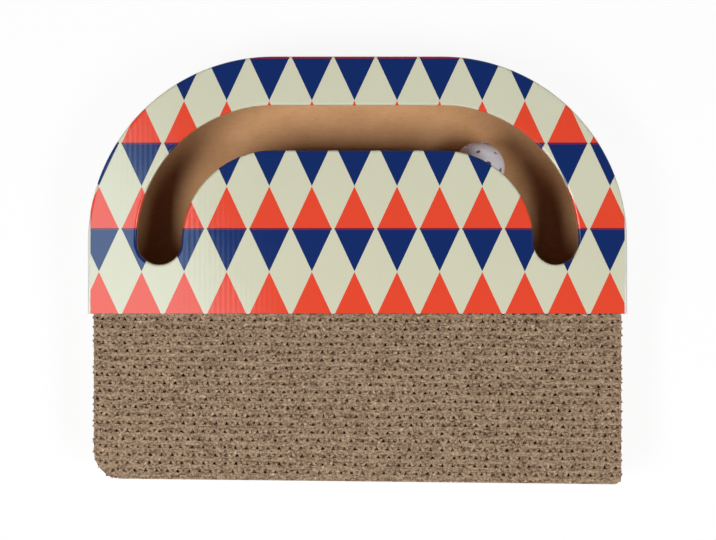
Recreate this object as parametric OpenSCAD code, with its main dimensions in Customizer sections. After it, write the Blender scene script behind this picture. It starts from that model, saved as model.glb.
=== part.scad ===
// Cardboard cat scratcher: a pad of corrugated strips on edge, glued in front of
// a printed arched housing whose slot shows a ball that rolls in the channel below.
// Millimetres. +X is the width, +Y runs from the pad to the arch, +Z is up.
// The origin is the centre of the footprint, on the surface that it stands on.

/* [Housing] */
// Width of the housing
housing_w = 350; // [320:1:400]
// Depth of the housing from its front edge to the back of the arch
housing_d = 167; // [155:1:190]
// Outer radius of the two rounded corners of the arch
corner_r = 120.5; // [112:0.5:125]
// Thickness of the bent wall strips
wall_t = 3; // [2:0.1:4]
// Thickness of the printed top board
top_t = 3; // [2.4:0.1:4]
// Thickness of the base board
base_t = 3; // [2:0.1:5]
// Radius of the pressed edges of the top board
edge_r = 1.6; // [0.6:0.1:2]

/* [Slot] */
// Width of the arched slot
slot_w = 29.2; // [24:0.2:30]
// Board left between the slot and the outside of the arch
rim_w = 31.7; // [28:0.1:38]

/* [Ball] */
// Outer diameter of the ball
ball_d = 34; // [32:0.5:38]
// Thickness of the ball's shell
shell_t = 1.2; // [0.8:0.1:1.6]
// Diameter of the sound holes in the shell
sound_hole_d = 3; // [2:0.1:3.2]
// Height of the lip that joins the two halves of the shell
lip_h = 1; // [0.6:0.1:1.2]
// Free height over the ball in its channel
ball_headroom = 5.7; // [3:0.1:12]
// Gap that the ball keeps to the inner wall
ball_side_gap = 1.5; // [1:0.1:5]
// Place of the ball along its channel, from the middle of the arch to the right
ball_angle = 33; // [0:1:60]

/* [Bell] */
// Outer diameter of the bell in the ball
bell_d = 12; // [10:0.5:14]
// Thickness of the bell's metal
bell_t = 0.6; // [0.4:0.1:0.8]
// Width of the bell's mouth
bell_mouth_w = 1.4; // [1:0.1:2]
// Diameter of the pellet in the bell
pellet_d = 3.2; // [2.6:0.1:4]

/* [Pad] */
// Gap between each side of the pad and the outer wall
pad_side_gap = 0.3; // [0.1:0.1:12]
// Number of strips of corrugated board in the pad
strip_count = 22; // [18:1:26]
// Thickness of one strip, from liner to liner
strip_t = 5.22; // [4:0.01:7]
// Thickness of the front strip, which is crushed
front_strip_t = 3.45; // [3:0.05:5.5]
// Thickness of the two liners of a strip
liner_t = 0.35; // [0.25:0.05:0.6]
// Thickness of the wavy paper between the liners
flute_t = 0.35; // [0.25:0.05:0.5]
// Pitch of the flutes
flute_pitch = 7.06; // [6:0.01:9]
// Radius of the crests of the wavy paper, on its middle line
crest_r = 0.95; // [0.7:0.05:1.1]
// Angle of the strips to the front of the housing
pad_skew = 0.65; // [0:0.05:1]
// How far the pad runs in under the top board at its middle
pad_tuck = 3.93; // [3:0.01:12]
// Radius of the pad's front left corner
pad_left_r = 9; // [4:0.5:15]
// Radius of the pad's front right corner
pad_right_r = 5; // [4:0.5:15]

/* [Fits] */
// Gap between pieces that are not glued
fit_gap = 0.3; // [0.1:0.05:0.5]
// Gap between the lip of one half of the ball and the other half
lip_gap = 0.05; // [0.02:0.01:0.1]

/* [Hidden] */
$fn = 96;
// Overrun of every cut past the face that it opens
overrun = 1;

// Heights
inner_h = ball_d + fit_gap + ball_headroom;
top_z = base_t + inner_h;
strip_h = inner_h - fit_gap;

// Pad: its strips fit between the legs of the outer wall
pad_w = housing_w - 2 * (wall_t + pad_side_gap);
// Pad along Y, measured from the front edge of the housing
skew_rise = pad_w / 2 * tan(pad_skew);
strip_step = strip_t / cos(pad_skew);
pad_d = (strip_count - 1) * strip_step + front_strip_t / cos(pad_skew);
pad_reach = (pad_w / 2 - pad_right_r) * tan(pad_skew);

// The footprint is centred on the origin
total_d = housing_d - pad_tuck + pad_d + pad_reach;
back_y = total_d / 2;
front_y = back_y - housing_d;
pad_back_y = front_y + pad_tuck;
pad_front_y = pad_back_y - pad_d;

// Arch
corner_x = housing_w / 2 - corner_r;
arc_y = back_y - corner_r;
leg_drop = arc_y - front_y;
slot_outer_r = corner_r - rim_w;
slot_inner_r = slot_outer_r - slot_w;
slot_mid_r = slot_outer_r - slot_w / 2;
slot_end_x = corner_x + slot_mid_r;

// Front wall, which the pad is glued against
front_wall_front_y = pad_back_y + skew_rise + fit_gap;
front_wall_back_y = front_wall_front_y + wall_t;

// The ball's path is the circle through the middle of the slot at the back
// and through the middle of both slot ends
path_r = (slot_end_x * slot_end_x + slot_mid_r * slot_mid_r) / (2 * slot_mid_r);
path_y = arc_y + slot_mid_r - path_r;
ball_r = ball_d / 2;
ball_x = path_r * sin(ball_angle);
ball_y = path_y + path_r * cos(ball_angle);
ball_z = base_t + fit_gap + ball_r;

// The inner wall keeps clear of the ball all along that path
path_near_r = path_r - norm([corner_x, arc_y - path_y]);
inner_wall_r = path_near_r - ball_r - ball_side_gap;

// Ball shell
shell_in_r = ball_r - shell_t;
lip_t = shell_t / 2;
// Turns of the ball about X, Y and Z as it lies in the channel
ball_turn = [17, 5, 90];
// Sound holes of one half lie on the pole and on three rings of five,
// at the angles of the faces and corners of a twenty-sided solid
hole_ring_count = 5;
hole_ring_step = 360 / hole_ring_count;
hole_rings = [
    [acos(sqrt((5 + 2 * sqrt(5)) / 15)), hole_ring_step / 2],
    [atan(2), 0],
    [acos(sqrt((5 - 2 * sqrt(5)) / 15)), hole_ring_step / 2]
];

// Bell
bell_r = bell_d / 2;
bell_z = ball_z - shell_in_r + fit_gap + bell_r;
bell_loop_r = bell_t * 2;
pellet_z = bell_z - bell_r + bell_t + fit_gap + pellet_d / 2;

// Flutes: the wavy paper is round at its crests and straight between them.
// Their shape follows from the thickness t of the strip.
function flute_h(t) = t - 2 * liner_t;
function crest_y(t) = (flute_h(t) - flute_t) / 2 - crest_r;
function flank_angle(t) =
    asin(crest_r / norm([flute_pitch / 4, crest_y(t)])) + atan2(crest_y(t), flute_pitch / 4);
crest_in_r = crest_r - flute_t / 2;
// A hole's round crest stands this much past its flanks, so that it crosses them
crest_lap = flute_t / 20;
// Share of the pitch that sets how the flutes shift from strip to strip
flute_shift_share = 0.382;

// Shift of a strip's flutes. Its square makes neighbours differ unevenly.
function flute_shift(i) = (i * i * flute_shift_share) % 1 * flute_pitch;

function strip_name(i) = str("pad_strip_", i < 10 ? "0" : "", i);

function thickness_of(i) = i < strip_count ? strip_t : front_strip_t;

// Place along Y of a strip's middle line
function strip_y(i) = pad_back_y - (i - 1) * strip_step - thickness_of(i) / 2 / cos(pad_skew);

// Outline of the arch at a radius about the corner centres, with straight sides
module arch_outline(r, drop) {
    for (side = [-1, 1])
        intersection() {
            translate([side * corner_x, arc_y])
                circle(r);
            translate([-corner_x - r, arc_y])
                square([2 * (corner_x + r), r]);
        }
    translate([-corner_x, arc_y])
        square([2 * corner_x, r]);
    translate([-corner_x - r, arc_y - drop])
        square([2 * (corner_x + r), drop]);
}

// Carries a profile round the arch: its x is the distance from the corner
// centres and its y is the height. Below the corners it runs straight for a leg.
module arch_sweep(leg) {
    for (side = [0, 1])
        mirror([side, 0, 0])
            translate([corner_x, arc_y, 0]) {
                rotate_extrude(angle = 90)
                    children();
                if (leg > 0)
                    rotate([90, 0, 0])
                        linear_extrude(leg)
                            children();
            }
    translate([-corner_x, arc_y, 0])
        rotate([90, 0, 90])
            linear_extrude(2 * corner_x)
                children();
}

// A strip of board bent round the arch and open at the front
module bent_wall(r, drop) {
    translate([0, 0, base_t])
        linear_extrude(inner_h)
            difference() {
                arch_outline(r, drop);
                arch_outline(r - wall_t, drop + overrun);
            }
}

// What a pressed edge takes off a board's upper corner, with the board at x < 0
module pressed_edge() {
    translate([-edge_r, top_t - edge_r])
        difference() {
            square(edge_r + overrun);
            circle(edge_r);
        }
}

// Section of the slot, from its middle outwards to one side
module half_slot_section() {
    translate([0, -overrun])
        square([slot_w / 2, top_t + 2 * overrun]);
    translate([slot_w / 2, 0])
        mirror([1, 0])
            pressed_edge();
}

module slot_section() {
    translate([slot_mid_r, 0])
        for (side = [0, 1])
            mirror([side, 0])
                half_slot_section();
}

module slot_cut() {
    arch_sweep(0)
        slot_section();
    for (side = [-1, 1])
        translate([side * slot_end_x, arc_y, 0])
            rotate([0, 0, 180])
                rotate_extrude(angle = 180)
                    half_slot_section();
}

module rim_cut() {
    arch_sweep(leg_drop + overrun)
        translate([corner_r, 0])
            pressed_edge();
}

// Material outside a rounded front corner of the pad. side is -1 for the left.
module pad_corner_cut(side, r) {
    cx = side * (pad_w / 2 - r);
    cy = pad_front_y - cx * tan(pad_skew) + r / cos(pad_skew);
    far = r + overrun;
    difference() {
        polygon([
            [cx + side * far, cy],
            [cx, cy],
            [cx - r * sin(pad_skew), cy - r * cos(pad_skew)],
            [cx - far * sin(pad_skew), cy - far * cos(pad_skew)],
            [cx + side * far, cy - far]
        ]);
        translate([cx, cy])
            circle(r);
    }
}

// Footprint of the pad: its sides are square to the housing, its strips are not
module pad_outline() {
    difference() {
        polygon([
            [-pad_w / 2, pad_back_y + skew_rise],
            [pad_w / 2, pad_back_y - skew_rise],
            [pad_w / 2, pad_front_y - skew_rise],
            [-pad_w / 2, pad_front_y + skew_rise]
        ]);
        pad_corner_cut(-1, pad_left_r);
        pad_corner_cut(1, pad_right_r);
    }
}

// One flute hole of a strip of thickness t, with its crest towards +Y
module flute_hole(t) {
    angle = flank_angle(t);
    flank_top_x = crest_in_r * sin(angle);
    flank_top_y = crest_y(t) + crest_in_r * cos(angle);
    flank_foot_x = flank_top_x + (flank_top_y + flute_h(t) / 2) / tan(angle);
    translate([0, crest_y(t)])
        circle(crest_in_r + crest_lap, $fn = 24);
    polygon([
        [-flank_foot_x, -flute_h(t) / 2],
        [flank_foot_x, -flute_h(t) / 2],
        [flank_top_x, flank_top_y],
        [-flank_top_x, flank_top_y]
    ]);
}

// Section of one strip of corrugated board, longer than the pad is wide
module strip_section(t, shift) {
    half_count = ceil(pad_w / flute_pitch) + 1;
    difference() {
        square([(half_count + 1) * flute_pitch, t], center = true);
        // The holes start one pitch early, because the shift is up to one pitch
        for (k = [-half_count - 2:half_count - 1])
            translate([k * flute_pitch / 2 + shift, 0])
                rotate(k % 2 == 0 ? 0 : 180)
                    flute_hole(t);
    }
}

module base_panel() {
    color("tan")
        union() {
            linear_extrude(base_t)
                arch_outline(corner_r, leg_drop);
            linear_extrude(base_t)
                pad_outline();
        }
}

module outer_wall() {
    color("ivory")
        bent_wall(corner_r, leg_drop);
}

module inner_wall() {
    color("burlywood")
        bent_wall(inner_wall_r, arc_y - front_wall_back_y);
}

module front_wall() {
    color("tan")
        translate([-housing_w / 2 + wall_t, front_wall_front_y, base_t])
            cube([housing_w - 2 * wall_t, wall_t, inner_h]);
}

module top_panel() {
    color("tomato")
        translate([0, 0, top_z])
            difference() {
                linear_extrude(top_t)
                    arch_outline(corner_r, leg_drop);
                slot_cut();
                rim_cut();
            }
}

module pad_strip(i) {
    color(i % 2 == 0 ? "peru" : "burlywood")
        translate([0, 0, base_t])
            linear_extrude(strip_h)
                intersection() {
                    pad_outline();
                    translate([0, strip_y(i)])
                        rotate([0, 0, -pad_skew])
                            strip_section(thickness_of(i), flute_shift(i));
                }
}

// Places a piece of the ball, which is drawn about its centre
module in_ball() {
    translate([ball_x, ball_y, ball_z])
        rotate(ball_turn)
            children();
}

module sound_hole() {
    translate([0, 0, shell_in_r - overrun])
        cylinder(d = sound_hole_d, h = shell_t + 2 * overrun);
}

module sound_holes() {
    sound_hole();
    for (ring = hole_rings)
        for (k = [0:hole_ring_count - 1])
            rotate([0, ring[0], ring[1] + k * hole_ring_step])
                sound_hole();
}

// Upper quarter of the shell's section
module shell_section() {
    intersection() {
        difference() {
            circle(ball_r);
            circle(shell_in_r);
        }
        square(ball_r);
    }
}

module ball_shell_a() {
    color("white")
        in_ball()
            difference() {
                rotate_extrude()
                    difference() {
                        shell_section();
                        translate([0, -overrun])
                            square([shell_in_r + lip_t + lip_gap, lip_h + lip_gap + overrun]);
                    }
                sound_holes();
            }
}

module ball_shell_b() {
    color("ghostwhite")
        in_ball()
            difference() {
                rotate_extrude() {
                    mirror([0, 1])
                        shell_section();
                    translate([shell_in_r, -lip_h])
                        square([lip_t, 2 * lip_h]);
                }
                mirror([0, 0, 1])
                    rotate([0, 0, hole_ring_step / 2])
                        sound_holes();
            }
}

module bell() {
    mouth_end_r = bell_mouth_w * 3 / 4;
    color("gold")
        translate([ball_x, ball_y, bell_z]) {
            difference() {
                sphere(bell_r);
                sphere(bell_r - bell_t);
                translate([-bell_r - overrun, -bell_mouth_w / 2, -bell_r - overrun])
                    cube([bell_d + 2 * overrun, bell_mouth_w, bell_r + overrun]);
                rotate([0, 90, 0])
                    cylinder(r = mouth_end_r, h = bell_d + 2 * overrun, center = true);
            }
            translate([0, 0, bell_r + bell_loop_r - bell_t])
                rotate([90, 0, 0])
                    rotate_extrude()
                        translate([bell_loop_r, 0])
                            circle(bell_t / 2);
        }
}

module bell_pellet() {
    color("silver")
        translate([ball_x, ball_y, pellet_z])
            sphere(d = pellet_d);
}

base_panel();
outer_wall();
inner_wall();
front_wall();
top_panel();
for (i = [1:strip_count])
    pad_strip(i);
ball_shell_a();
ball_shell_b();
bell();
bell_pellet();
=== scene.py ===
import math
import random

import bpy
import bmesh
from mathutils import Matrix, Vector, noise


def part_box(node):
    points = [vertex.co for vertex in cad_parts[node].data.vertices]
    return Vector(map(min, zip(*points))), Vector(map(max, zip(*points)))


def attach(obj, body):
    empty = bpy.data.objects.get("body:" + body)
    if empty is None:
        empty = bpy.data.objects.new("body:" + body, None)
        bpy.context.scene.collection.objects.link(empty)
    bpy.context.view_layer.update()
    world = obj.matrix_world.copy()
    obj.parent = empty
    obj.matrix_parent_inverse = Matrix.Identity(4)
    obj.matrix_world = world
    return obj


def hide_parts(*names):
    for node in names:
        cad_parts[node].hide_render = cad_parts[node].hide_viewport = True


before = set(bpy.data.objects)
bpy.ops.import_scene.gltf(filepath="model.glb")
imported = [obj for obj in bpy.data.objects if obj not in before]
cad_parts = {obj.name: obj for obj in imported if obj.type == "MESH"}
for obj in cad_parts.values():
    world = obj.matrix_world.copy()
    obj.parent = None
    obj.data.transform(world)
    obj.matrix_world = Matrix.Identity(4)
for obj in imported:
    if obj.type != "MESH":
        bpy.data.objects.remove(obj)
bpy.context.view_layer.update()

mm = 0.001

# The studio: a white table and a camera straight above it. Two large soft boxes hang on
# either side, a little towards the front. A faint panel high over the left shows only as
# a veil in the varnish. The walls are pale and the ceiling is dim.
scene = bpy.context.scene
scene.view_settings.view_transform = "Standard"
top_low, top_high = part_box("top_panel")

photo_w_px = 716
photo_mm_per_px = 0.648
sensor_w = 36
lens = 70
camera_rise = photo_w_px * photo_mm_per_px * mm * lens / sensor_w
camera_x, camera_y = 0.3 * mm, 0.4 * mm

camera_data = bpy.data.cameras.new("camera")
camera_data.lens = lens
camera_data.sensor_width = sensor_w
camera = bpy.data.objects.new("camera", camera_data)
camera.location = (camera_x, camera_y, top_high[2] + camera_rise)
scene.collection.objects.link(camera)
scene.camera = camera


def soft_lamp(name, place, aim, width, depth, watts, turn=0):
    """A soft box, which the camera itself doesn't see."""
    lamp = bpy.data.lights.new(name, "AREA")
    lamp.shape = "RECTANGLE"
    lamp.size = width
    lamp.size_y = depth
    lamp.energy = watts
    holder = bpy.data.objects.new(name, lamp)
    facing = (Vector(aim) - Vector(place)).to_track_quat("-Z", "Y").to_matrix().to_4x4()
    holder.matrix_world = Matrix.Translation(place) @ facing @ Matrix.Rotation(turn, 4, "Z")
    holder.visible_camera = False
    scene.collection.objects.link(holder)
    return holder


soft_lamp("soft_box_left", place=(-0.95, -0.52, 1.45), aim=(0, -0.52, 0), width=0.95, depth=0.5, watts=23.8)
soft_lamp("soft_box_right", place=(1.05, -0.52, 1.45), aim=(0, -0.52, 0), width=0.95, depth=0.5, watts=18.4)
veil_lamp = soft_lamp("soft_box_high", place=(-0.45, -0.015, 1.6), aim=(-0.45, -0.015, 0),
                      width=0.55, depth=0.35, watts=2, turn=math.radians(-59))
veil_lamp.data.color = (0.75, 1, 1.1)
veil_lamp.visible_diffuse = False


def add_node(tree, kind, sockets=(), **settings):
    """A node in tree. Each of sockets is set to its value, or linked where that is a socket."""
    made = tree.nodes.new(kind)
    for key, value in settings.items():
        setattr(made, key, value)
    for key, value in dict(sockets).items():
        if isinstance(value, bpy.types.NodeSocket):
            tree.links.new(value, made.inputs[key])
        else:
            made.inputs[key].default_value = value
    return made


def calc(tree, operation, *values, clamp=False):
    """What a Math node makes of the values."""
    made = add_node(tree, "ShaderNodeMath", dict(enumerate(values)), operation=operation, use_clamp=clamp)
    return made.outputs[0]


white = (1, 1, 1, 1)
wall_light = 0.06
under_light = 0.6
ceiling_gloss = 0.05
horizon_gloss = 0.70
skyline = -0.02
walls_up_to, ceiling_from = 0.1, 0.75

world = bpy.data.worlds.new("studio")
scene.world = world
world.use_nodes = True
tree = world.node_tree
tree.nodes.clear()
light_path = add_node(tree, "ShaderNodeLightPath")
direction = add_node(tree, "ShaderNodeTexCoord").outputs["Generated"]
height = add_node(tree, "ShaderNodeSeparateXYZ", {0: direction}).outputs["Z"]
to_ceiling = add_node(tree, "ShaderNodeMapRange",
                      {"Value": height, "From Min": walls_up_to, "From Max": ceiling_from,
                       "To Min": horizon_gloss, "To Max": ceiling_gloss}).outputs[0]
seen_gloss = add_node(tree, "ShaderNodeBackground", {"Color": white, "Strength": to_ceiling}).outputs[0]
seen_plain = add_node(tree, "ShaderNodeBackground", {"Color": white, "Strength": 1}).outputs[0]
from_under = add_node(tree, "ShaderNodeMapRange",
                      {"Value": height, "From Min": skyline, "From Max": 0,
                       "To Min": under_light, "To Max": wall_light}).outputs[0]
lighting = add_node(tree, "ShaderNodeBackground", {"Color": white, "Strength": from_under}).outputs[0]
glossy = calc(tree, "MAXIMUM", light_path.outputs["Is Glossy Ray"], light_path.outputs["Is Transmission Ray"])
with_gloss = add_node(tree, "ShaderNodeMixShader", {0: glossy, 1: lighting, 2: seen_gloss}).outputs[0]
with_camera = add_node(tree, "ShaderNodeMixShader",
                       {0: light_path.outputs["Is Camera Ray"], 1: with_gloss, 2: seen_plain}).outputs[0]
add_node(tree, "ShaderNodeOutputWorld", {"Surface": with_camera})

# From below, the table lets both the eye and the light through to the underside.
table_w = 6
table_z = -0.05 * mm
under_reach = 0.3 * mm
table_glow = 0.9
table_white = (0.94, 0.94, 0.94, 1)
table_material = bpy.data.materials.new("white_table")
table_material.use_nodes = True
tree = table_material.node_tree
tree.nodes.clear()
light_path = add_node(tree, "ShaderNodeLightPath")
seen = calc(tree, "MAXIMUM", light_path.outputs["Is Camera Ray"], light_path.outputs["Is Glossy Ray"])
seen = calc(tree, "MAXIMUM", seen, light_path.outputs["Is Transmission Ray"])
table_lit = add_node(tree, "ShaderNodeBsdfDiffuse", {"Color": table_white}).outputs[0]
table_plain = add_node(tree, "ShaderNodeEmission", {"Color": white, "Strength": 1}).outputs[0]
table_mix = add_node(tree, "ShaderNodeMixShader",
                     {0: calc(tree, "MULTIPLY", seen, table_glow), 1: table_lit, 2: table_plain}).outputs[0]
behind = add_node(tree, "ShaderNodeNewGeometry").outputs["Backfacing"]
close = calc(tree, "LESS_THAN", light_path.outputs["Ray Length"], under_reach)
see_through = add_node(tree, "ShaderNodeBsdfTransparent").outputs[0]
table_surface = add_node(tree, "ShaderNodeMixShader",
                         {0: calc(tree, "MAXIMUM", behind, close), 1: table_mix, 2: see_through}).outputs[0]
add_node(tree, "ShaderNodeOutputMaterial", {"Surface": table_surface})
table_mesh = bpy.data.meshes.new("table")
table_corners = ((-1, -1), (1, -1), (1, 1), (-1, 1))
table_mesh.from_pydata([(x * table_w / 2, y * table_w / 2, table_z) for x, y in table_corners],
                       [], [(0, 1, 2, 3)])
table_mesh.materials.append(table_material)
table = bpy.data.objects.new("table", table_mesh)
scene.collection.objects.link(table)

# The base board: one sheet of brown corrugated board, die cut to the footprint.
# Its two liners are glued to a wavy paper between them, whose flutes run from the
# pad to the arch and end open along the cut edge.
base_low, base_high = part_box("base_panel")
housing_w = top_high[0] - top_low[0]
front_y, back_y = top_low[1], top_high[1]
corner_r = 120.5 * mm
corner_x = housing_w / 2 - corner_r
arc_y = back_y - corner_r

strip_names = sorted(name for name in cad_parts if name.startswith("pad_strip_"))
strip_t = 5.22 * mm
front_strip_t = 3.45 * mm
pad_skew = math.radians(0.65)
pad_tuck = 3.93 * mm
pad_left_r = 9 * mm
pad_right_r = 5 * mm
pad_half_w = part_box(strip_names[len(strip_names) // 2])[1][0]
strip_step = strip_t / math.cos(pad_skew)
pad_back_y = front_y + pad_tuck
pad_front_y = pad_back_y - (len(strip_names) - 1) * strip_step - front_strip_t / math.cos(pad_skew)

board_liner_t = 0.32 * mm
board_flute_t = 0.26 * mm
board_pitch = 6.4 * mm
board_inset = 0.15 * mm
board_side_gap = 0.3 * mm
columns_in_flute = 16
arc_steps = 48
corner_steps = 10


def pad_corner(side, radius):
    """Centre of a rounded front corner of the pad. side is -1 for the left."""
    centre_x = side * (pad_half_w - radius)
    return centre_x, pad_front_y - centre_x * math.tan(pad_skew) + radius / math.cos(pad_skew)


def arc_points(centre, radius, start, end, steps):
    """Points on an arc, from the angle start to end in degrees."""
    turns = [math.radians(start + (end - start) * k / steps) for k in range(steps + 1)]
    return [(centre[0] + radius * math.cos(a), centre[1] + radius * math.sin(a)) for a in turns]


def arch_points(radius, end_y):
    """The arch's outline about the corner centres, from its right leg round to its left one."""
    points = [(corner_x + radius, end_y)]
    points += arc_points((corner_x, arc_y), radius, 0, 90, arc_steps)
    points += arc_points((-corner_x, arc_y), radius, 90, 180, arc_steps)
    return points + [(-corner_x - radius, end_y)]


def pad_front_points(inset):
    """The pad's outline from its left side round the front to its right side."""
    skew_deg = math.degrees(pad_skew)
    points = [(-pad_half_w + inset, front_y)]
    points += arc_points(pad_corner(-1, pad_left_r), pad_left_r - inset, 180, 270 - skew_deg, corner_steps)
    points += arc_points(pad_corner(1, pad_right_r), pad_right_r - inset, 270 - skew_deg, 360, corner_steps)
    return points + [(pad_half_w - inset, front_y)]


def arch_high(x, radius):
    """Height along Y of the arch's outline at x."""
    past = max(abs(x) - corner_x, 0)
    return arc_y + math.sqrt(max(radius ** 2 - past ** 2, 0))


def pad_low(x, inset, left_r):
    """Place along Y of the pad's front edge at x, with the given radius of the left corner."""
    for side, radius in ((-1, left_r), (1, pad_right_r)):
        centre = pad_corner(side, radius)
        past = side * (x - centre[0])
        if past > 0:
            return centre[1] - math.sqrt(max((radius - inset) ** 2 - past ** 2, 0))
    return pad_front_y - x * math.tan(pad_skew) + inset


def plate(verts, faces, loops, low_z, high_z):
    """A flat sheet between two heights. The first loop is its outline and the others are its openings."""
    filler = bmesh.new()
    edges = []
    for loop in loops:
        ring = [filler.verts.new((x, y, 0)) for x, y in loop]
        edges += [filler.edges.new((ring[k], ring[(k + 1) % len(ring)])) for k in range(len(ring))]
    bmesh.ops.triangle_fill(filler, use_beauty=True, use_dissolve=False, edges=edges)
    filler.verts.index_update()
    first = len(verts)
    flat = [vert.co[:2] for vert in filler.verts]
    verts += [(x, y, z) for z in (low_z, high_z) for x, y in flat]
    for face in filler.faces:
        corners = [vert.index for vert in face.verts]
        if face.normal.z < 0:
            corners.reverse()
        faces.append([first + len(flat) + c for c in corners])
        faces.append([first + c for c in reversed(corners)])
    start = first
    for loop in loops:
        count = len(loop)
        for k in range(count):
            a, b = start + k, start + (k + 1) % count
            faces.append([a, b, b + len(flat), a + len(flat)])
        start += count
    filler.free()


def flute_sheet(verts, faces, columns):
    """A wavy paper whose flutes run along Y. Each column is its x, z, slope, thickness and stretches of y."""
    before = None
    for x, z, slope, thick, stretches in columns:
        rise = thick / 2 / math.sqrt(1 + slope ** 2)
        shift = -slope * rise
        rings = []
        for low, high in stretches:
            first = len(verts)
            verts += [(x - shift, low, z - rise), (x - shift, high, z - rise),
                      (x + shift, high, z + rise), (x + shift, low, z + rise)]
            rings.append(first)
        if before is not None and len(before) == len(rings):
            for a, b in zip(before, rings):
                faces += [[a + k, a + (k + 1) % 4, b + (k + 1) % 4, b + k] for k in range(4)]
        before = rings


def flute_columns(low_z, high_z, half_w, pitch, thick, stretches):
    """The columns of a wavy paper between two liners."""
    reach = (high_z - low_z - thick) / 2
    count = int(half_w / pitch * columns_in_flute)
    columns = []
    for k in range(-count, count + 1):
        x = k * pitch / columns_in_flute
        turn = 2 * math.pi * x / pitch
        slope = 2 * math.pi / pitch * reach * math.cos(turn)
        columns.append((x, (low_z + high_z) / 2 + reach * math.sin(turn), slope, thick, stretches(x)))
    return columns


def new_piece(name, verts, faces, material, body, stands_for, crease=35):
    """A mesh piece that rides on a body and stands for CAD nodes. Edges sharper than crease stay sharp."""
    mesh = bpy.data.meshes.new(name)
    mesh.from_pydata(verts, [], faces)
    cleaner = bmesh.new()
    cleaner.from_mesh(mesh)
    bmesh.ops.recalc_face_normals(cleaner, faces=cleaner.faces)
    cleaner.to_mesh(mesh)
    cleaner.free()
    mesh.materials.append(material)
    mesh.shade_smooth()
    mesh.set_sharp_from_angle(angle=math.radians(crease))
    piece = bpy.data.objects.new(name, mesh)
    scene.collection.objects.link(piece)
    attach(piece, body)
    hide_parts(*stands_for)
    return piece


def new_group(name, colours_in, values_in, values_out=()):
    """An empty shader node group, which puts out a colour and the named values."""
    group = bpy.data.node_groups.new(name, "ShaderNodeTree")
    for kind, labels in (("NodeSocketColor", colours_in), ("NodeSocketFloat", values_in)):
        for label in labels:
            group.interface.new_socket(name=label, in_out="INPUT", socket_type=kind)
    group.interface.new_socket(name="Colour", in_out="OUTPUT", socket_type="NodeSocketColor")
    for label in values_out:
        group.interface.new_socket(name=label, in_out="OUTPUT", socket_type="NodeSocketFloat")
    return group


def blend_colour(tree, share, first, second, blend_type="MIX"):
    """first where share is 0 and second where it is 1."""
    mixer = add_node(tree, "ShaderNodeMix", data_type="RGBA", blend_type=blend_type)
    for socket, value in ((mixer.inputs[0], share), (mixer.inputs[6], first), (mixer.inputs[7], second)):
        if isinstance(value, bpy.types.NodeSocket):
            tree.links.new(value, socket)
        else:
            socket.default_value = value
    return mixer.outputs[2]


def paint(red, green, blue):
    """A colour given in the 0 to 255 steps of a colour chart, on the sRGB curve."""
    def linear(step):
        share = step / 255
        return share / 12.92 if share <= 0.04045 else ((share + 0.055) / 1.055) ** 2.4
    return (linear(red), linear(green), linear(blue), 1)


def kraft_paper_group():
    """Brown paper: cloudy pulp, short fibres along one way, and specks."""
    group = new_group("kraft_paper", ["Pulp", "Shade", "Speck"],
                      ["Cloud Scale", "Fibre Scale", "Speck Share", "Contrast"], ["Height"])
    cloud_share, fibre_share = 0.55, 0.45
    speck_size, speck_from = 0.62, 0.71
    cloud_dip = 0.4
    given = add_node(group, "NodeGroupInput").outputs
    place = add_node(group, "ShaderNodeTexCoord").outputs["Object"]
    clouds = add_node(group, "ShaderNodeTexNoise",
                      {"Vector": place, "Scale": given["Cloud Scale"], "Detail": 4, "Roughness": 0.6})
    along = add_node(group, "ShaderNodeMapping", {"Vector": place, "Scale": (0.22, 1, 1)}).outputs[0]
    fibres = add_node(group, "ShaderNodeTexNoise",
                      {"Vector": along, "Scale": given["Fibre Scale"], "Detail": 3, "Roughness": 0.7,
                       "Distortion": 0.6})
    speck_scale = calc(group, "MULTIPLY", given["Fibre Scale"], speck_size)
    specks = add_node(group, "ShaderNodeTexNoise", {"Vector": place, "Scale": speck_scale, "Detail": 1})
    cloudy = add_node(group, "ShaderNodeMapRange",
                      {"Value": clouds.outputs["Fac"], "From Min": 0.35, "From Max": 0.68}).outputs[0]
    fibrous = add_node(group, "ShaderNodeMapRange",
                       {"Value": fibres.outputs["Fac"], "From Min": 0.38, "From Max": 0.7}).outputs[0]
    uneven = calc(group, "ADD", calc(group, "MULTIPLY", cloudy, cloud_share),
                  calc(group, "MULTIPLY", fibrous, fibre_share))
    off_middle = calc(group, "MULTIPLY", calc(group, "SUBTRACT", uneven, 0.5), given["Contrast"])
    shade = calc(group, "ADD", off_middle, 0.5, clamp=True)
    plain = blend_colour(group, shade, given["Pulp"], given["Shade"])
    speckled = calc(group, "GREATER_THAN", specks.outputs["Fac"], speck_from)
    share = calc(group, "MULTIPLY", speckled, given["Speck Share"])
    rise = calc(group, "SUBTRACT", fibrous, calc(group, "MULTIPLY", cloudy, cloud_dip))
    add_node(group, "NodeGroupOutput", {"Colour": blend_colour(group, share, plain, given["Speck"]),
                                        "Height": rise})
    return group


kraft_paper = kraft_paper_group()


def use_group(tree, group, values):
    """The outputs of a node group in tree, with its sockets set or linked by name."""
    holder = add_node(tree, "ShaderNodeGroup", node_tree=group)
    for key, value in values.items():
        if isinstance(value, bpy.types.NodeSocket):
            tree.links.new(value, holder.inputs[key])
        else:
            holder.inputs[key].default_value = value
    return holder.outputs


def new_material(name):
    """A material with its shader and output, and nothing linked to the shader yet."""
    material = bpy.data.materials.new(name)
    material.use_nodes = True
    return material, material.node_tree, material.node_tree.nodes["Principled BSDF"]


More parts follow.
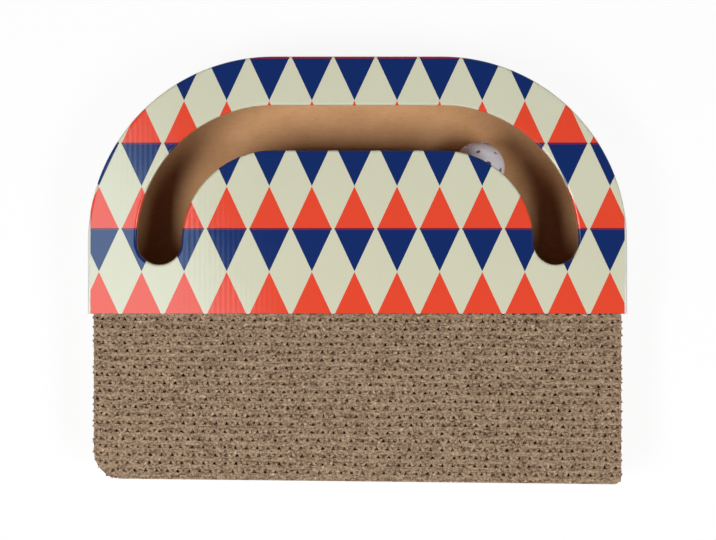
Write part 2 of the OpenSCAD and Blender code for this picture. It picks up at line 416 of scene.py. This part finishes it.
def kraft_material(name, pulp, shade, speck, cloud_scale, fibre_scale, speck_share, contrast, bump):
    """Plain brown paper. shade and speck_share are plain values, or make them from the tree."""
    material, tree, shader = new_material(name)
    shade, speck_share = [value(tree) if callable(value) else value for value in (shade, speck_share)]
    paper = use_group(tree, kraft_paper, {"Pulp": pulp, "Shade": shade, "Speck": speck,
                                          "Cloud Scale": cloud_scale, "Fibre Scale": fibre_scale,
                                          "Speck Share": speck_share, "Contrast": contrast})
    raised = add_node(tree, "ShaderNodeBump",
                      {"Strength": bump, "Distance": 0.1 * mm, "Height": paper["Height"]})
    tree.links.new(paper["Colour"], shader.inputs["Base Color"])
    tree.links.new(raised.outputs[0], shader.inputs["Normal"])
    shader.inputs["Roughness"].default_value = 0.88
    shader.inputs["Specular IOR Level"].default_value = 0.2
    return material


board_kraft = kraft_material("board_kraft", paint(206, 160, 116), paint(188, 142, 98), paint(136, 98, 64),
                             cloud_scale=45, fibre_scale=900, speck_share=0.2, contrast=1, bump=0.3)


def base_stretches(x):
    """Where the base's wavy paper lies along Y at x."""
    over_pad = abs(x) < pad_half_w - board_inset
    low = pad_low(x, board_inset, pad_left_r) if over_pad else front_y + board_inset
    return [(low, arch_high(x, corner_r - board_inset))]


verts, faces = [], []
base_outline = arch_points(corner_r, front_y) + pad_front_points(0)
plate(verts, faces, [base_outline], base_low[2], base_low[2] + board_liner_t)
plate(verts, faces, [base_outline], base_high[2] - board_liner_t, base_high[2])
flute_sheet(verts, faces, flute_columns(base_low[2] + board_liner_t, base_high[2] - board_liner_t,
                                        housing_w / 2 - board_side_gap, board_pitch, board_flute_t,
                                        base_stretches))
new_piece("base_board", verts, faces, board_kraft, "housing_and_pad", ["base_panel"])

# The walls: strips of corrugated board on edge, glued down to the base. The outer wall
# is bent round the arch and printed outside, the inner wall is bent round the island
# of the slot, and the straight front wall backs the pad.
wall_low, wall_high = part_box("outer_wall")
inner_low, inner_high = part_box("inner_wall")
front_wall_low, front_wall_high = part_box("front_wall")
wall_t = front_wall_high[1] - front_wall_low[1]
inner_wall_r = inner_high[1] - arc_y
bend_step = 2.5 * mm
steps_in_flute = 12


def ribbon(verts, faces, path, thickness, levels, edge=None):
    """A paper strip on edge along path. Each level is a height and the share of the loose edge that it has.
    edge(x, y) gives what that edge adds: its push aside, its lift, and its growth to the right and left."""
    count = len(path)
    section = [(-0.5, z, loose) for z, loose in levels] + [(0.5, z, loose) for z, loose in reversed(levels)]
    size = len(section)
    first = len(verts)
    for k, (x, y) in enumerate(path):
        x0, y0 = path[max(k - 1, 0)]
        x1, y1 = path[min(k + 1, count - 1)]
        run = math.hypot(x1 - x0, y1 - y0)
        across = ((y0 - y1) / run, (x1 - x0) / run)
        push, lift, *grown = edge(x, y) if edge else (0, 0, 0, 0)
        for side, z, loose in section:
            out = side * thickness + (push + math.copysign(grown[side > 0], side)) * loose
            verts.append((x + across[0] * out, y + across[1] * out, z + lift * loose))
    for k in range(count - 1):
        a = first + k * size
        faces += [[a + j, a + (j + 1) % size, a + size + (j + 1) % size, a + size + j] for j in range(size)]
    last = first + (count - 1) * size
    faces.append([first + j for j in range(size)])
    faces.append([last + j for j in reversed(range(size))])


def arch_place(s, radius):
    """Point and outward normal at the way s along a bent wall, from the middle of its back."""
    side = 1 if s >= 0 else -1
    way = abs(s) - corner_x
    if way <= 0:
        return s, arc_y + radius, 0, 1
    turn = way / radius
    if turn <= math.pi / 2:
        out = (side * math.sin(turn), math.cos(turn))
        return side * corner_x + radius * out[0], arc_y + radius * out[1], out[0], out[1]
    return side * (corner_x + radius), arc_y - (way - radius * math.pi / 2), side, 0


def bent_path(radius, end_y, wave=0):
    """Path of a paper in a bent wall, straight between its liners or in flutes across it."""
    half = corner_x + radius * math.pi / 2 + arc_y - end_y
    count = int(half / (board_pitch / steps_in_flute if wave else bend_step))
    path = []
    for k in range(-count, count + 1):
        s = half * k / count
        x, y, out_x, out_y = arch_place(s, radius)
        off = wave * math.sin(2 * math.pi * s / board_pitch)
        path.append((x + out_x * off, y + out_y * off))
    return path


def bent_board(verts, faces, radius, end_y, low_z, high_z, with_outer=True):
    """Liners and flutes of a bent wall whose outer face is at radius."""
    levels = [(low_z, 0), (high_z, 0)]
    wave = (wall_t - 2 * board_liner_t - board_flute_t) / 2
    ribbon(verts, faces, bent_path(radius - wall_t + board_liner_t / 2, end_y), board_liner_t, levels)
    ribbon(verts, faces, bent_path(radius - wall_t / 2, end_y, wave), board_flute_t, levels)
    if with_outer:
        ribbon(verts, faces, bent_path(radius - board_liner_t / 2, end_y), board_liner_t, levels)


verts, faces = [], []
bent_board(verts, faces, corner_r, front_y, wall_low[2], wall_high[2], with_outer=False)
new_piece("outer_wall_board", verts, faces, board_kraft, "housing_and_pad", ["outer_wall"])

verts, faces = [], []
bent_board(verts, faces, inner_wall_r, front_wall_high[1], inner_low[2], inner_high[2])
new_piece("inner_wall_board", verts, faces, board_kraft, "housing_and_pad", ["inner_wall"])

verts, faces = [], []
wave = (wall_t - 2 * board_liner_t - board_flute_t) / 2
front_half_w = front_wall_high[0]
front_mid_y = (front_wall_low[1] + front_wall_high[1]) / 2
front_levels = [(front_wall_low[2], 0), (front_wall_high[2], 0)]
for y in (front_wall_low[1] + board_liner_t / 2, front_wall_high[1] - board_liner_t / 2):
    ribbon(verts, faces, [(-front_half_w, y), (0, y), (front_half_w, y)], board_liner_t, front_levels)
flute_count = int(2 * front_half_w / board_pitch * steps_in_flute)
flute_path = []
for k in range(flute_count + 1):
    x = -front_half_w + 2 * front_half_w * k / flute_count
    flute_path.append((x, front_mid_y + wave * math.sin(2 * math.pi * x / board_pitch)))
ribbon(verts, faces, flute_path, board_flute_t, front_levels)
new_piece("front_wall_board", verts, faces, board_kraft, "housing_and_pad", ["front_wall"])

# The pad: strips of coarse recycled board, cut across the flutes and glued face to face
# on edge. Each is two liners with a tall wavy paper between them, seen end on. The saw
# mashed the paper's upper edges, so that they spread over most of each flute.
liner_t = 0.35 * mm
flute_t = 0.35 * mm
flute_pitch = 7.06 * mm
crest_r = 0.95 * mm
flute_shift_share = 0.382
pad_low_z, pad_high_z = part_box(strip_names[0])[0][2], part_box(strip_names[0])[1][2]
lift = 0.4 * mm
mash_depths_mm = ((4.5, 0), (2.2, 0.3), (1.0, 0.75), (0.35, 1), (0, 0.72))
strip_levels = [(pad_low_z, 0)]
strip_levels += [(pad_high_z - lift - depth * mm, loose) for depth, loose in mash_depths_mm]
flap_bow = 0.35 * mm
mash_rear = 1.47 * mm
mash_fore = 0.97 * mm
mash_flute = 0.98 * mm
mash_size = 2.6 * mm
mash_share = 0.16
fine_mash_size = 0.7 * mm
fine_mash_share = 0.15
fine_mash_seed = 7
lift_size = 1.3 * mm
lift_seed = 5
push_most = 0.2 * mm
push_size = 0.9 * mm
push_seed = 3
high_shreds = (13, 0.6 * mm, 2.0 * mm)
deep_shreds = (5, 1.8 * mm, 3.3 * mm)
shred_spread_mm = (1.0, 0.8)
shred_half_long_mm = (0.8, 1.6)
shred_half_wide_mm = (0.12, 0.32)
shred_sag_mm = (-0.4, 0.5)
pad_fan = 0.9 * mm
pad_worn_r = 18.5 * mm
sway_most = 0.35 * mm
sway_size = 38 * mm
sway_fade_w = 20 * mm
rear_fade_w = 12 * mm

pad_pulp = paint(174, 150, 124)
# The next colour is the pulp's second tone below the tear. It is plain paper, but made lighter and redder as
# painted bounce light inside the deep flutes.
pad_plain_tone_and_painted_bounce = paint(178, 138, 100)
pad_torn = paint(64, 26, 2)
pad_fibre = paint(236, 210, 184)


def near_cut(tree):
    """1 where the saw tore the paper, and 0 below that."""
    place = add_node(tree, "ShaderNodeTexCoord").outputs["Object"]
    height = add_node(tree, "ShaderNodeSeparateXYZ", {0: place}).outputs["Z"]
    return add_node(tree, "ShaderNodeMapRange",
                    {"Value": height, "From Min": pad_high_z - 2.4 * mm,
                     "From Max": pad_high_z - 1.2 * mm}).outputs[0]


def torn_tone_and_painted_bounce(tree):
    """The pulp's second tone: dark where the saw tore it. Below the tear it is a light red-brown, which is
    painted bounce light that brightens the deep flutes.
    """
    return blend_colour(tree, near_cut(tree), pad_plain_tone_and_painted_bounce, pad_torn)


def torn_fibres(tree):
    """Share of pale fibres, which the saw laid bare."""
    return add_node(tree, "ShaderNodeMapRange",
                    {"Value": near_cut(tree), "To Min": 0.1, "To Max": 0.45}).outputs[0]


pad_paper = kraft_material("pad_paper", pad_pulp, torn_tone_and_painted_bounce, pad_fibre, cloud_scale=820, fibre_scale=700,
                           speck_share=torn_fibres, contrast=1.4, bump=0.9)


def mash(x, y, most, seed):
    """How far a mashed edge spreads at a point, which varies about most."""
    coarse = noise.noise(Vector((x, y, seed)) / mash_size)
    fine = noise.noise(Vector((x, y, seed + fine_mash_seed)) / fine_mash_size)
    return max(most * (1 + mash_share * coarse + fine_mash_share * fine), 0)


def edge_lift(x, y):
    """How far an edge stands above or below its mean height."""
    return lift * noise.noise(Vector((x, y, lift_seed)) / lift_size)


def flute_edge(x, y):
    """The wavy paper spreads both ways, but not out through the pad's front."""
    push = push_most * noise.noise(Vector((x, y, push_seed)) / push_size)
    room = max(y - pad_low(x, 0, pad_worn_r) - liner_t - abs(push), 0)
    return push, edge_lift(x, y), min(mash(x, y, mash_flute, seed=0), room), mash(x, y, mash_flute, seed=1)


def liner_edge(side):
    """A liner is glued to its neighbour on the outside, so it spreads only towards its own flutes.
    The saw ran towards the front, and spread the rear liner of each strip the most."""
    def edge(x, y):
        if side < 0:
            return 0, edge_lift(x, y), 0, mash(x, y, mash_fore, seed=2)
        return 0, edge_lift(x, y), mash(x, y, mash_rear, seed=3), 0
    return edge


def in_pad(x, y):
    """Whether a place lies within the pad's outline, as worn above the base."""
    return abs(x) <= pad_half_w and y >= pad_low(x, 0, pad_worn_r)


def pad_place(along, across, middle_y):
    """Turns a place in a strip to one in the pad. The strips fan out a little to the rear, and they sway."""
    x = along * math.cos(pad_skew) + across * math.sin(pad_skew)
    y = middle_y - along * math.sin(pad_skew) + across * math.cos(pad_skew)
    fade = min(1, (pad_half_w - abs(x)) / sway_fade_w, (y - pad_front_y) / sway_fade_w,
               (pad_back_y - y) / rear_fade_w)
    sway = sway_most * noise.noise(Vector((x, y * 2, 0)) / sway_size) * max(fade, 0)
    fan = pad_fan * x / pad_half_w * max(y - pad_front_y, 0) / (pad_back_y - pad_front_y)
    return x, y + sway + fan


def clipped(places, middle_y):
    """The part of a strip's path that lies in the pad, cut off at the pad's outline by halving."""
    halvings = 12
    path = [pad_place(along, across, middle_y) for along, across in places]
    inside = [in_pad(x, y) for x, y in path]
    first, last = inside.index(True), len(inside) - 1 - inside[::-1].index(True)
    kept = path[first:last + 1]
    for end, out in ((0, first - 1), (-1, last + 1)):
        near, far = Vector(kept[end]), Vector(path[out])
        for _ in range(halvings):
            middle = (near + far) / 2
            if in_pad(*middle):
                near = middle
            else:
                far = middle
        if end == 0:
            kept.insert(0, tuple(near))
        else:
            kept.append(tuple(near))
    return kept


def flute_places(thickness, shift):
    """The wavy paper's middle line in a strip: round at each crest, straight between them."""
    crest_steps = 3
    flank_steps = 9
    spare_crests = 4
    crest_y = (thickness - 2 * liner_t - flute_t) / 2 - crest_r
    flank_angle = (math.asin(crest_r / math.hypot(flute_pitch / 4, crest_y))
                   + math.atan2(crest_y, flute_pitch / 4))
    foot = (crest_r * math.sin(flank_angle), crest_y + crest_r * math.cos(flank_angle))
    crests = int(pad_half_w / flute_pitch * 2) + spare_crests
    places = []
    for k in range(-crests, crests + 1):
        side = 1 if k % 2 == 0 else -1
        middle = k * flute_pitch / 2 + shift
        for step in range(-crest_steps, crest_steps + 1):
            turn = flank_angle * step / crest_steps
            places.append((middle + crest_r * math.sin(turn), side * (crest_y + crest_r * math.cos(turn))))
        for step in range(1, flank_steps):
            way = step / flank_steps
            flank_x = middle + foot[0] + (flute_pitch / 2 - 2 * foot[0]) * way
            places.append((flank_x, side * foot[1] * (1 - 2 * way)))
    return places


def pad_side_x(side, y):
    """The pad's side at y, which turns into its rounded corner."""
    radius = pad_worn_r if side < 0 else pad_right_r
    centre = pad_corner(side, radius)
    past = min(max(centre[1] - y, 0), radius)
    return centre[0] + side * math.sqrt(radius ** 2 - past ** 2)


def end_flap(side, thickness, middle_y):
    """The cut flute at a strip's end, which the saw pressed in and closed along its upper edge."""
    flap_steps = 8

    def bow(share):
        return flap_bow * math.sin(math.pi * share)

    def edge(x, y):
        reach = max(side * (pad_side_x(side, y) - x) - flute_t, 0)
        inward = mash(x, y, mash_flute, seed=4)
        return (0, edge_lift(x, y), reach, inward) if side > 0 else (0, edge_lift(x, y), inward, reach)

    path = []
    for step in range(flap_steps + 1):
        share = step / flap_steps
        _, y = pad_place(side * pad_half_w, (share - 0.5) * (thickness - liner_t), middle_y)
        x = pad_side_x(side, y) - side * (flute_t / 2 + bow(share))
        if in_pad(x, y):
            path.append((x, y))
    return path, edge


def add_shreds(verts, faces, along, middle_y, count, high, low, chance):
    """Shreds of paper that the saw left hanging in a flute, between two depths."""
    for _ in range(count):
        off, across = [chance.gauss(0, spread) * mm for spread in shred_spread_mm]
        x, y = pad_place(along + off, across, middle_y)
        turn = chance.uniform(0, math.pi)
        half_long = chance.uniform(*shred_half_long_mm) * mm
        half_wide = chance.uniform(*shred_half_wide_mm) * mm
        z = pad_high_z - chance.uniform(high, low)
        sag = chance.uniform(*shred_sag_mm) * mm
        along_way = (math.cos(turn) * half_long, math.sin(turn) * half_long)
        wide_way = (-math.sin(turn) * half_wide, math.cos(turn) * half_wide)
        ends = [(x + along_way[0] * way, y + along_way[1] * way - half_wide) for way in (-1, 1)]
        if not all(in_pad(*end) for end in ends):
            continue
        first = len(verts)
        for step in (-1, 0, 1):
            for side in (-1, 1):
                verts.append((x + along_way[0] * step + wide_way[0] * side,
                              y + along_way[1] * step + wide_way[1] * side, z + sag * step * step))
        faces += [[first + k, first + k + 1, first + k + 3, first + k + 2] for k in (0, 2)]


chance = random.Random(22)
liner_step = 0.5 * mm
liner_spare = 3 * mm
liner_half = pad_half_w + liner_spare
liner_count = int(liner_half / liner_step)
liner_steps = [liner_half * k / liner_count for k in range(-liner_count, liner_count + 1)]
for number, name in enumerate(strip_names, start=1):
    thickness = strip_t if number < len(strip_names) else front_strip_t
    middle_y = pad_back_y - (number - 1) * strip_step - thickness / 2 / math.cos(pad_skew)
    shift = number * number * flute_shift_share % 1 * flute_pitch
    verts, faces = [], []
    for side in (-1, 1):
        across = side * (thickness - liner_t) / 2
        path = clipped([(along, across) for along in liner_steps], middle_y)
        ribbon(verts, faces, path, liner_t, strip_levels, liner_edge(side))
    ribbon(verts, faces, clipped(flute_places(thickness, shift), middle_y), flute_t, strip_levels, flute_edge)
    for side in (-1, 1):
        path, edge = end_flap(side, thickness, middle_y)
        ribbon(verts, faces, path, flute_t, strip_levels, edge)
    flute_count = int(pad_half_w / flute_pitch)
    for k in range(-flute_count, flute_count):
        add_shreds(verts, faces, k * flute_pitch + shift, middle_y, *deep_shreds, chance)
        add_shreds(verts, faces, (k + 0.5) * flute_pitch + shift, middle_y, *high_shreds, chance)
    new_piece(name + "_board", verts, faces, pad_paper, "housing_and_pad", [name], crease=50)

# The bell in the ball: two brass halves pressed together round an iron pellet, with a
# wire loop soldered on top. It lies loose at the bottom of the ball.


def dress(node_name, material):
    """Gives a solid from the CAD its material, and leaves its shape alone."""
    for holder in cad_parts[node_name].material_slots:
        holder.material = material


def tarnish_group():
    """Slow blotches and fine rubbing marks on metal or plastic."""
    group = new_group("tarnish", ["Clean", "Dull"], ["Blotch Scale", "Low Roughness", "High Roughness"],
                      ["Roughness", "Height"])
    rub_fineness = 9
    given = add_node(group, "NodeGroupInput").outputs
    place = add_node(group, "ShaderNodeTexCoord").outputs["Object"]
    blotch = add_node(group, "ShaderNodeTexNoise",
                      {"Vector": place, "Scale": given["Blotch Scale"],
                       "Detail": 5, "Roughness": 0.65}).outputs["Fac"]
    rubbed = add_node(group, "ShaderNodeTexNoise",
                      {"Vector": place, "Scale": calc(group, "MULTIPLY", given["Blotch Scale"], rub_fineness),
                       "Detail": 3, "Roughness": 0.7}).outputs["Fac"]
    share = add_node(group, "ShaderNodeMapRange",
                     {"Value": blotch, "From Min": 0.35, "From Max": 0.7}).outputs[0]
    rough = add_node(group, "ShaderNodeMapRange",
                     {"Value": rubbed, "From Min": 0.3, "From Max": 0.7,
                      "To Min": given["Low Roughness"], "To Max": given["High Roughness"]}).outputs[0]
    add_node(group, "NodeGroupOutput", {"Colour": blend_colour(group, share, given["Clean"], given["Dull"]),
                                        "Roughness": rough, "Height": rubbed})
    return group


tarnish = tarnish_group()


def worn_material(name, clean, dull, blotch_scale, low_rough, high_rough, metallic, bump):
    """Metal or plastic with the tarnish group's blotches and rubbing marks."""
    material, tree, shader = new_material(name)
    finish = use_group(tree, tarnish, {"Clean": clean, "Dull": dull, "Blotch Scale": blotch_scale,
                                       "Low Roughness": low_rough, "High Roughness": high_rough})
    raised = add_node(tree, "ShaderNodeBump",
                      {"Strength": bump, "Distance": 0.02 * mm, "Height": finish["Height"]})
    tree.links.new(finish["Colour"], shader.inputs["Base Color"])
    tree.links.new(finish["Roughness"], shader.inputs["Roughness"])
    tree.links.new(raised.outputs[0], shader.inputs["Normal"])
    shader.inputs["Metallic"].default_value = metallic
    return material


bell_brass = worn_material("bell_brass", paint(226, 190, 112), paint(178, 138, 72),
                           blotch_scale=220, low_rough=0.18, high_rough=0.38, metallic=1, bump=0.15)
pellet_iron = worn_material("pellet_iron", paint(176, 174, 170), paint(120, 112, 104),
                            blotch_scale=300, low_rough=0.3, high_rough=0.55, metallic=1, bump=0.2)
dress("bell", bell_brass)
dress("bell_pellet", pellet_iron)

# The ball: two moulded halves of white plastic with a faint violet cast, one lipped into
# the other, with small round sound holes. It rolls in the channel under the slot.
ball_plastic = worn_material("ball_plastic", paint(244, 240, 247), paint(230, 225, 235),
                             blotch_scale=60, low_rough=0.3, high_rough=0.45, metallic=0, bump=0.1)
dress("ball_shell_a", ball_plastic)
dress("ball_shell_b", ball_plastic)

# The top board: two layers of fine flutes under a printed and varnished sheet. The die
# that cut it pressed its outer edge and the edge of the slot round, and its straight
# front edge is cut square over the pad.
edge_r = 1.6 * mm
rim_w = 31.7 * mm
slot_w = 29.2 * mm
slot_outer_r = corner_r - rim_w
slot_inner_r = slot_outer_r - slot_w
slot_end_x = corner_x + slot_outer_r - slot_w / 2
sheet_t = 0.3 * mm
fine_pitch = 3.35 * mm
fine_t = 0.2 * mm
skirt_z = top_low[2] + 1.15 * mm
flat_ring_w = 0.5 * mm
roll_steps = 6
cap_steps = 24
layer_heights = (0, 0.25 * mm, 1.35 * mm, 1.55 * mm)
middle_inset = 0.4 * mm
front_inset = 0.1 * mm


def slot_points(inset):
    """The slot's outline, moved outwards by inset into the board round it."""
    outer, inner, cap = slot_outer_r + inset, slot_inner_r - inset, slot_w / 2 + inset
    points = arc_points((corner_x, arc_y), outer, 0, 90, arc_steps)
    points += arc_points((-corner_x, arc_y), outer, 90, 180, arc_steps)
    points += arc_points((-slot_end_x, arc_y), cap, 180, 360, cap_steps)[1:-1]
    points += arc_points((-corner_x, arc_y), inner, 180, 90, arc_steps)
    points += arc_points((corner_x, arc_y), inner, 90, 0, arc_steps)
    points += arc_points((slot_end_x, arc_y), cap, 180, 360, cap_steps)[1:-1]
    return points


def top_stretches(inset):
    """Where the board lies along Y at x, kept inset from its edges but for the front one."""
    def stretches(x):
        outer, inner, cap = slot_outer_r + inset, slot_inner_r - inset, slot_w / 2 + inset
        low, high = front_y + front_inset, arch_high(x, corner_r - inset)
        past = abs(x) - corner_x
        if past >= outer:
            return [(low, high)]
        slot_high = arch_high(x, outer)
        if past < inner:
            slot_low = arch_high(x, inner)
        else:
            slot_low = arc_y - math.sqrt(max(cap ** 2 - (abs(x) - slot_end_x) ** 2, 0))
        return [(low, slot_low), (slot_high, high)]
    return stretches


def harlequin_group():
    """Rows of blue and red triangles, base to base, on cream. Across and Down are lengths on the sheet."""
    group = new_group("harlequin", ["Blue", "Red", "Cream", "Line"], ["Across", "Down"])
    given = add_node(group, "NodeGroupInput").outputs
    column_w = 27.6 * mm
    row_h = 27.7 * mm
    fullness = 0.94
    softness = 0.012
    line_w = 0.6 * mm
    column = calc(group, "FRACT", calc(group, "ADD", calc(group, "DIVIDE", given["Across"], column_w), 0.5))
    from_apex = calc(group, "ABSOLUTE", calc(group, "SUBTRACT", calc(group, "MULTIPLY", column, 2), 1))
    row = calc(group, "FRACT", calc(group, "DIVIDE", given["Down"], 2 * row_h))
    from_middle = calc(group, "SUBTRACT", calc(group, "MULTIPLY", row, 2), 1)
    width = calc(group, "MULTIPLY", calc(group, "ABSOLUTE", from_middle), fullness)
    inside = calc(group, "DIVIDE", calc(group, "SUBTRACT", width, from_apex), softness, clamp=True)
    is_red = calc(group, "GREATER_THAN", row, 0.5)
    ink = blend_colour(group, is_red, given["Blue"], given["Red"])
    printed = blend_colour(group, inside, given["Cream"], ink)
    at_base = calc(group, "GREATER_THAN", calc(group, "ABSOLUTE", from_middle), 1 - line_w / row_h)
    on_line = calc(group, "MULTIPLY", at_base, calc(group, "LESS_THAN", from_apex, fullness))
    add_node(group, "NodeGroupOutput", {"Colour": blend_colour(group, on_line, printed, given["Line"])})
    return group


harlequin = harlequin_group()
print_blue = paint(17, 43, 104)
print_red = paint(233, 74, 48)
print_cream = paint(213, 212, 187)
print_line = paint(120, 36, 70)
bare_sheet = paint(216, 214, 208)
paper_shade = (0.93, 0.93, 0.92, 1)
paper_speck = (0.86, 0.85, 0.83, 1)
print_shift_x = -2.0 * mm
print_base_y = back_y - 1.2 * mm
print_half_w = 173.1 * mm


def printed_material(name, across, down, bare=None):
    """Varnished print on board. across and down make places on the sheet, bare its unprinted rim."""
    ripple_share, hollow_share = 0.02, 0.5
    paper_share = 0.5
    material, tree, shader = new_material(name)
    place = add_node(tree, "ShaderNodeTexCoord").outputs["Object"]
    split = add_node(tree, "ShaderNodeSeparateXYZ", {0: place}).outputs
    pattern = use_group(tree, harlequin, {"Across": across(tree, split), "Down": down(tree, split),
                                          "Blue": print_blue, "Red": print_red, "Cream": print_cream,
                                          "Line": print_line})
    paper = use_group(tree, kraft_paper, {"Pulp": white, "Shade": paper_shade, "Speck": paper_speck,
                                          "Cloud Scale": 22, "Fibre Scale": 1400, "Speck Share": 0.25,
                                          "Contrast": 1})
    sheet = pattern["Colour"]
    if bare:
        sheet = blend_colour(tree, bare(tree, split), sheet, bare_sheet)
    mottled = blend_colour(tree, 1.0, sheet, paper["Colour"], "MULTIPLY")
    toned = blend_colour(tree, paper_share, sheet, mottled)
    tree.links.new(toned, shader.inputs["Base Color"])
    ripple = calc(tree, "SINE", calc(tree, "MULTIPLY", split["X"], 2 * math.pi / fine_pitch))
    slow = add_node(tree, "ShaderNodeTexNoise", {"Vector": place, "Scale": 16, "Detail": 2}).outputs["Fac"]
    relief = calc(tree, "ADD", calc(tree, "MULTIPLY", ripple, calc(tree, "MULTIPLY", slow, ripple_share)),
                  calc(tree, "MULTIPLY", slow, hollow_share))
    raised = add_node(tree, "ShaderNodeBump", {"Strength": 1, "Distance": 0.5 * mm, "Height": relief})
    fine = add_node(tree, "ShaderNodeBump", {"Strength": 0.08, "Distance": 0.05 * mm,
                                             "Height": paper["Height"], "Normal": raised.outputs[0]})
    tree.links.new(fine.outputs[0], shader.inputs["Normal"])
    shader.inputs["Roughness"].default_value = 0.12
    return material


def flat_across(tree, split):
    return calc(tree, "SUBTRACT", split["X"], print_shift_x)


def flat_down(tree, split):
    return calc(tree, "SUBTRACT", print_base_y, split["Y"])


def flat_bare(tree, split):
    return calc(tree, "GREATER_THAN", calc(tree, "ABSOLUTE", split["X"]), print_half_w)


top_print = printed_material("top_print", flat_across, flat_down, flat_bare)


def top_sheet():
    """The printed sheet: flat between the edges, rolled over them, with a short skirt."""
    verts, faces = [], []
    flat = edge_r + flat_ring_w
    roll = [(flat, top_high[2])]
    roll += [(edge_r * (1 - math.sin(a)), top_high[2] - edge_r * (1 - math.cos(a)))
             for a in (math.radians(90 / roll_steps * k) for k in range(roll_steps + 1))]
    roll.append((0, skirt_z))
    outline = arch_points(corner_r - flat, front_y)
    filler = bmesh.new()
    edges = []
    for loop in (outline, slot_points(flat)):
        ring = [filler.verts.new((x, y, top_high[2])) for x, y in loop]
        edges += [filler.edges.new((ring[k], ring[(k + 1) % len(ring)])) for k in range(len(ring))]
    bmesh.ops.triangle_fill(filler, use_beauty=True, use_dissolve=False, edges=edges)
    filler.verts.index_update()
    verts += [vert.co[:] for vert in filler.verts]
    faces += [[vert.index for vert in face.verts] for face in filler.faces]
    filler.free()
    starts = (0, len(outline))
    makers = (lambda d: arch_points(corner_r - d, front_y), slot_points)
    for start, maker, closed in zip(starts, makers, (False, True)):
        before = start
        for inset, z in roll[1:]:
            points = maker(inset)
            first = len(verts)
            verts += [(x, y, z) for x, y in points]
            for k in range(len(points) if closed else len(points) - 1):
                n = (k + 1) % len(points)
                faces.append([before + k, before + n, first + n, first + k])
            before = first
    return verts, faces


verts, faces = top_sheet()
sheet_piece = new_piece("top_sheet", verts, faces, top_print, "housing_and_pad",
                        ["top_panel"])
thick = sheet_piece.modifiers.new("paper_thickness", "SOLIDIFY")
thick.thickness = sheet_t
thick.offset = -1
with bpy.context.temp_override(object=sheet_piece, active_object=sheet_piece):
    bpy.ops.object.modifier_apply(modifier=thick.name)
sheet_piece.data.set_sharp_from_angle(angle=math.radians(35))

layer_zs = [top_low[2] + height for height in layer_heights] + [top_high[2] - sheet_t]
verts, faces = [], []
plate(verts, faces, [arch_points(corner_r, front_y), slot_points(0)], layer_zs[0], layer_zs[1])
plate(verts, faces, [arch_points(corner_r - middle_inset, front_y), slot_points(middle_inset)],
      layer_zs[2], layer_zs[3])
for layer, side_gap, edge_gap in ((1, 0.3 * mm, 0.1 * mm), (3, 1.4 * mm, 1.35 * mm)):
    flute_sheet(verts, faces, flute_columns(layer_zs[layer], layer_zs[layer + 1], housing_w / 2 - side_gap,
                                            fine_pitch, fine_t, top_stretches(edge_gap)))
new_piece("top_board_core", verts, faces, board_kraft, "housing_and_pad", ["top_panel"])

# The outer wall's printed face: one liner's thickness of varnished sheet, glued on round
# the arch. It carries the rows of the top on round the side.


def wall_across(tree, split):
    """Way round the arch from the middle of its back."""
    far_x = calc(tree, "ABSOLUTE", split["X"])
    past_x = calc(tree, "MAXIMUM", calc(tree, "SUBTRACT", far_x, corner_x), 0)
    past_y = calc(tree, "MAXIMUM", calc(tree, "SUBTRACT", split["Y"], arc_y), 0)
    bend = calc(tree, "MULTIPLY", calc(tree, "ARCTAN2", past_x, past_y), corner_r)
    leg = calc(tree, "MAXIMUM", calc(tree, "SUBTRACT", arc_y, split["Y"]), 0)
    way = calc(tree, "ADD", calc(tree, "MINIMUM", far_x, corner_x), calc(tree, "ADD", bend, leg))
    return calc(tree, "SUBTRACT", calc(tree, "MULTIPLY", way, calc(tree, "SIGN", split["X"])), print_shift_x)


def wall_down(tree, split):
    return calc(tree, "SUBTRACT", top_high[2], split["Z"])


wall_print = printed_material("wall_print", wall_across, wall_down)
verts, faces = [], []
ribbon(verts, faces, bent_path(corner_r - board_liner_t / 2, front_y), board_liner_t,
       [(wall_low[2], 0), (wall_high[2], 0)])
new_piece("outer_wall_print", verts, faces, wall_print, "housing_and_pad", ["outer_wall"])
